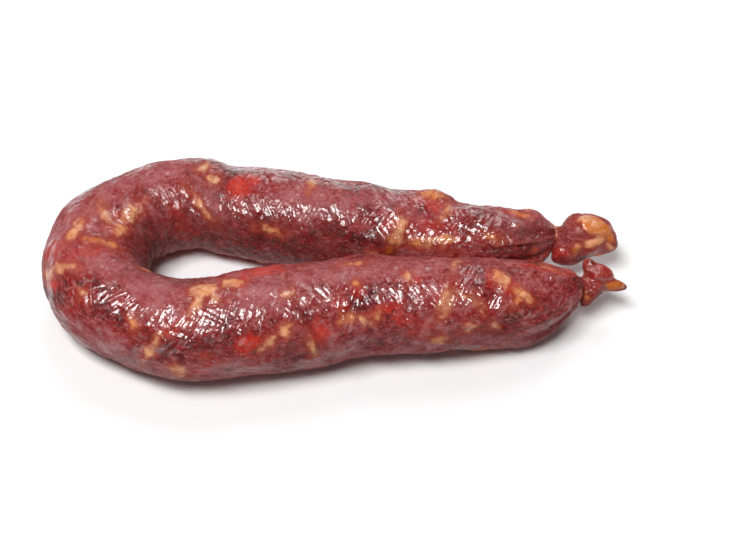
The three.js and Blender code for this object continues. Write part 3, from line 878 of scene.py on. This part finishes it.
def new_group(name, inputs, outputs):
    """An empty shader group with named sockets: (name, kind, default) in and (name, kind) out."""
    tree = bpy.data.node_groups.new(name, "ShaderNodeTree")
    for label, kind, default in inputs:
        socket = tree.interface.new_socket(label, in_out="INPUT", socket_type="NodeSocket" + kind)
        if default is not None:
            socket.default_value = default
    for label, kind in outputs:
        tree.interface.new_socket(label, in_out="OUTPUT", socket_type="NodeSocket" + kind)
    return Graph(tree), tree.nodes.new("NodeGroupInput").outputs, tree.nodes.new("NodeGroupOutput").inputs


def meat_group():
    """Coarsely minced cured meat: soft patches of dark, red and mauve, pale specks and cloudy veins."""
    g, given, result = new_group(
        "Minced meat",
        [("Place", "Vector", None), ("Tone", "Float", 0.0), ("Dark", "Color", linear(DARK_MEAT)),
         ("Red", "Color", linear(RED_MEAT)), ("Mauve", "Color", linear(MAUVE_MEAT)),
         ("Speck", "Color", linear(PALE_SPECK))],
        [("Colour", "Color")])
    place = g.shift(given["Place"], 5.0, 5.0)
    broad = g.noise(place, 15.0, 2.0, 0.5)
    middle = g.noise(place, 6.0, 3.0, 0.55)
    small = g.noise(g.shift(given["Place"], 1.6, 1.2), 2.0, 3.0, 0.6)
    fibre = g.noise(g.stretch(g.shift(given["Place"], 1.5, 0.9), (0.5, 1.0, 1.0)), 1.0, 2.0, 0.6)
    tone = given["Tone"]
    for grain, weight in ((broad, 2.6), (middle, 3.4), (small, 1.3), (fibre, 3.2)):
        tone = g.times_plus(g.less(grain), weight, tone)
    lean = g.mix(g.ramp(tone, -1.3, 0.1), given["Dark"], given["Red"])
    lean = g.mix(g.ramp(tone, -0.1, 0.95, 0.0, 0.92), lean, given["Mauve"])
    speck = g.noise(g.shift(given["Place"], 2.6, 2.2), 2.6, 3.0, 0.55)
    lean = g.mix(g.ramp(speck, 0.55, 0.78, 0.0, 0.5), lean, given["Speck"])
    vein = g.math("ABSOLUTE", g.less(g.noise(place, 8.0, 2.0, 0.5)))
    cloud = g.times(g.ramp(vein, 0.09, 0.0, 0.0, 0.3), g.ramp(tone, -0.4, 0.6, 0.15, 1.0))
    lean = g.mix(cloud, lean, given["Speck"])
    fleck = g.ramp(g.noise(given["Place"], 0.9, 1.0), 0.6, 0.7, 0.0, 0.45)
    lean = g.mix(fleck, lean, given["Speck"])
    g.tree.links.new(lean, result["Colour"])
    return g.tree


def film_group():
    """A dried film: a milky veil in soft patches and streaks."""
    g, given, result = new_group("Dried film", [("Place", "Vector", None), ("Cover", "Float", 0.5)],
                                 [("Veil", "Float")])
    place = g.shift(given["Place"], 3.0, 3.0)
    veil = g.noise(g.stretch(place, (0.6, 1.0, 1.0)), 6.0, 4.0, 0.6)
    limit = g.less(0.8, g.times(given["Cover"], 0.5))
    share = g.ramp(veil, g.less(limit, 0.14), g.math("ADD", limit, 0.16))
    grain = g.ramp(g.noise(given["Place"], 1.0, 3.0, 0.65), 0.36, 0.66, 0.35, 1.0)
    streak = g.noise(g.stretch(g.shift(given["Place"], 2.0, 1.0), (0.4, 1.0, 1.0)), 1.5, 3.0, 0.65)
    whole = g.times_plus(g.ramp(streak, 0.5, 0.7), 0.7, g.times(share, grain))
    g.tree.links.new(whole, result["Veil"])
    return g.tree


def ragged_group():
    """A mark with an uneven soft edge: 1 where the distance plus a little noise is above 0."""
    g, given, result = new_group(
        "Ragged mark",
        [("Place", "Vector", None), ("Distance", "Float", 0.0), ("Ragged", "Float", 1.6),
         ("Soft", "Float", 0.2)],
        [("Mark", "Float"), ("Inside", "Float")])
    wobble = g.less(g.noise(given["Place"], 2.6, 3.0, 0.55))
    inside = g.times_plus(wobble, given["Ragged"], given["Distance"])
    mark = g.ramp(inside, g.times(given["Soft"], -1.0), given["Soft"])
    g.tree.links.new(mark, result["Mark"])
    g.tree.links.new(inside, result["Inside"])
    return g.tree


def crumpled_film(g, place, lean):
    """The height of thin crumpled film in millimetres: slant wrinkles one way or the other, and facets."""
    along_axis = g.add("ShaderNodeSeparateXYZ", {0: place})

    def wrinkles(slant, start):
        """Ridges along a helix: noise folded at its middle value."""
        turn = g.times(along_axis, slant)
        helix = g.add("ShaderNodeVectorRotate", {"Vector": place, "Angle": turn}, rotation_type="X_AXIS")
        moved = g.add("ShaderNodeVectorMath", {0: helix, 1: (start, 0.0, 0.0)}, operation="ADD")
        waves = g.noise(g.stretch(g.shift(moved, 3.0, 1.6), (0.9, 1.0, 1.0)), WRINKLE_SIZE, 1.0, 0.5)
        return g.math("ABSOLUTE", g.less(waves))

    patch = g.ramp(g.times_plus(lean, 0.3, g.noise(place, 12.0, 1.0)), 0.44, 0.56)
    first = g.times(wrinkles(FILM_SLANT, 0.0), patch)
    second = g.times(wrinkles(OTHER_SLANT, 300.0), g.less(1.0, patch))
    facets = g.cells(g.shift(place, 1.4, 1.2), FACET_SIZE, feature="SMOOTH_F1")
    height = g.times(g.math("ADD", first, second), WRINKLE_HEIGHT)
    height = g.times_plus(facets, FACET_HEIGHT, height)
    return g.times_plus(g.noise(place, GRAIN_SIZE, 2.0), GRAIN_HEIGHT, height)


def use_group(g, tree, inputs):
    """A group placed in a material: its node."""
    node = g.tree.nodes.new("ShaderNodeGroup")
    node.node_tree = tree
    g.feed(node, inputs)
    return node.outputs


def new_material(name):
    """A material with its graph and its surface shader."""
    material = bpy.data.materials.new(name)
    material.use_nodes = True
    return material, Graph(material.node_tree), material.node_tree.nodes["Principled BSDF"]


def casing_material():
    """Moist casing over meat: marbled lean, paprika stains, fat, a milky film and a crumpled gloss."""
    material, g, surface = new_material("casing")
    skin = g.attribute("skin", "Vector")
    dampness = g.times_plus(g.noise(skin, 4.0, 2.0, 0.5), 1.7, g.attribute("gloss"))
    wet = g.ramp(dampness, 0.9, 1.4)
    off_middle = g.math("ABSOLUTE", g.less(g.add("ShaderNodeSeparateXYZ", {0: skin}), LENGTH / 2))
    knob = g.ramp(off_middle, LENGTH / 2 - 2, LENGTH / 2 + 3)
    tone = g.times_plus(wet, -0.08, g.attribute("tone"))
    meat = use_group(g, meat_group(), {"Place": skin, "Tone": tone})
    film = use_group(g, film_group(), {"Place": skin, "Cover": g.ramp(tone, -0.8, 1.0, 0.15, 0.9)})
    ragged = ragged_group()
    red = use_group(g, ragged, {"Place": skin, "Distance": g.attribute("red"), "Ragged": 4.0, "Soft": 1.4})
    fat = use_group(g, ragged, {"Place": skin, "Distance": g.attribute("fat"),
                               "Ragged": g.times_plus(knob, -3.2, 4.2),
                               "Soft": g.times_plus(knob, -1.3, 1.8)})

    # paprika, then the milky and the dried film over it, the dried film also greying the low edge as
    # painted shade
    mottle = g.ramp(g.noise(skin, 1.8, 3.0, 0.6), 0.36, 0.6, 0.6, 1.0)
    red_share = g.times(g.times(red["Mark"], g.attribute("red_tone")), mottle)
    paprika = g.mix(g.ramp(red["Inside"], 0.4, 3.2, 0.0, 0.65), linear(PAPRIKA), linear(PAPRIKA_CORE))
    colour = g.mix(red_share, meat["Colour"], paprika)
    veil = g.times(film["Veil"], g.ramp(red_share, 0.0, 0.8, 0.38, 0.05))
    veil = g.times(veil, g.all_but(0.8, knob))
    colour = g.mix(veil, colour, linear(FILM))
    dry_and_shade = g.times(g.attribute("dry_and_shade"), g.ramp(g.noise(skin, 2.4, 4.0, 0.7), 0.36, 0.64, 0.05, 0.75))
    colour = g.mix(dry_and_shade, colour, linear(DRY_FILM_AND_SHADE))
    # fat, which lies right under the casing and has a reddish edge
    stain = g.ramp(g.noise(skin, 3.4, 2.0, 0.5), 0.44, 0.66, 0.0, 0.35)
    core = g.mix(g.math("ADD", g.attribute("fat_tone"), stain), linear(CREAM_FAT), linear(ORANGE_FAT))
    cloudy = g.ramp(g.noise(g.shift(skin, 2.0, 2.0), 2.4, 3.0, 0.6), 0.34, 0.6, 0.4, 1.0)
    cloudy = g.math("MAXIMUM", cloudy, knob)
    halo = g.ramp(fat["Inside"], -2.6, -0.2, 0.0, 0.55)
    colour = g.mix(halo, colour, linear(FAT_EDGE))
    fat_share = g.times(fat["Mark"], cloudy)
    fat_colour = g.mix(g.ramp(fat["Inside"], -0.8, 0.9), linear(FAT_EDGE), core)
    colour = g.mix(fat_share, colour, fat_colour)
    # painted shade: the low outer side is darkened
    colour = g.mix(g.times(g.attribute("low"), LOW_SHADE_SHARE), colour, linear(LOW_PAINTED_SHADE))

    # soft meat, and a glassy coat whose own wrinkles break up what it reflects
    soft = g.times_plus(g.noise(skin, 3.0, 2.0, 0.5), 0.5, g.times(g.noise(skin, 1.1), 0.1))
    under = g.add("ShaderNodeBump", {"Height": soft, "Distance": MM, "Strength": 1.0})
    film_height = crumpled_film(g, skin, g.attribute("lean"))
    film_bump = g.add("ShaderNodeBump", {"Height": film_height, "Distance": MM, "Strength": 1.0})
    # which is dull where it is dry, low down and on the knobs
    coat = g.times_plus(wet, 0.9, 0.1)
    for share, mask in ((0.95, dry_and_shade), (0.6, g.attribute("low")), (0.4, knob)):
        coat = g.times(coat, g.all_but(share, mask))
    g.feed(surface, {"Base Color": colour, "Roughness": g.times_plus(wet, -0.16, 0.48), "Normal": under,
                     "Coat Weight": coat, "Coat Normal": film_bump, **CASING_FINISH})
    return material


def table_material():
    """Smooth white board with the faintest grain."""
    material, g, surface = new_material("table")
    place = g.add("ShaderNodeTexCoord", out="Object")
    tint = g.ramp(g.noise(place, 0.05, 3.0), 0.3, 0.7)
    colour = g.mix(tint, linear(TABLE_WHITE), linear(TABLE_GRAIN))
    g.feed(surface, {"Base Color": colour, "Roughness": 0.6})
    return material


# Stage, light and camera

def add_table():
    """A broad pale floor under the sausage."""
    mesh = bpy.data.meshes.new("table")
    corners = [(x * TABLE_REACH, y * TABLE_REACH, 0) for x, y in ((-1, -1), (1, -1), (1, 1), (-1, 1))]
    mesh.from_pydata(corners, [], [(0, 1, 2, 3)])
    mesh.materials.append(table_material())
    placed("table", mesh)


def aim(thing, place, target):
    """Puts a light or a camera at place, looking at target, both in metres."""
    thing.location = place
    thing.rotation_mode = "QUATERNION"
    thing.rotation_quaternion = (Vector(target) - Vector(place)).to_track_quat("-Z", "Y")


def add_softbox(name, lean, turn, distance, size, watts):
    """A broad soft light, lean degrees off the vertical and turn degrees round from the camera's side."""
    data = bpy.data.lights.new(name, "AREA")
    data.shape = "RECTANGLE"
    data.size, data.size_y = size
    data.energy = watts
    a, b = math.radians(lean), math.radians(turn)
    direction = Vector((math.sin(a) * math.sin(b), -math.sin(a) * math.cos(b), math.cos(a)))
    aim(placed(name, data), direction * distance, (0, 0, 0))


def add_light():
    """A soft light overhead on the camera's side and a weaker one behind, in a dim room, paler low down."""
    add_softbox("near light", **NEAR_LIGHT)
    add_softbox("far light", **FAR_LIGHT)
    world = bpy.data.worlds.new("white room")
    bpy.context.scene.world = world
    world.use_nodes = True
    g = Graph(world.node_tree)
    direction = g.add("ShaderNodeTexCoord", out="Generated")
    up = g.add("ShaderNodeSeparateXYZ", {0: direction}, out="Z")
    strength = g.ramp(up, 0.0, 0.35, ROOM_LOW, ROOM_HIGH)
    g.feed(world.node_tree.nodes["Background"], {"Strength": strength, "Color": (1.0, 1.0, 1.0, 1.0)})


def add_camera():
    """The camera that the picture was taken with, as fitted to the picture."""
    data = bpy.data.cameras.new("camera")
    data.sensor_width = SENSOR_WIDTH
    data.lens = SENSOR_WIDTH * FOCAL_PIXELS / IMAGE_WIDTH
    camera = placed("camera", data)
    aim(camera, Vector(CAMERA_PLACE * MM), Vector(CAMERA_TARGET * MM))
    bpy.context.scene.camera = camera
    bpy.context.scene.view_settings.view_transform = "Standard"


add_camera()
casing = build_casing()
casing.data.materials.append(casing_material())
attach(casing, "root")
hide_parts("sausage")
add_table()
add_light()
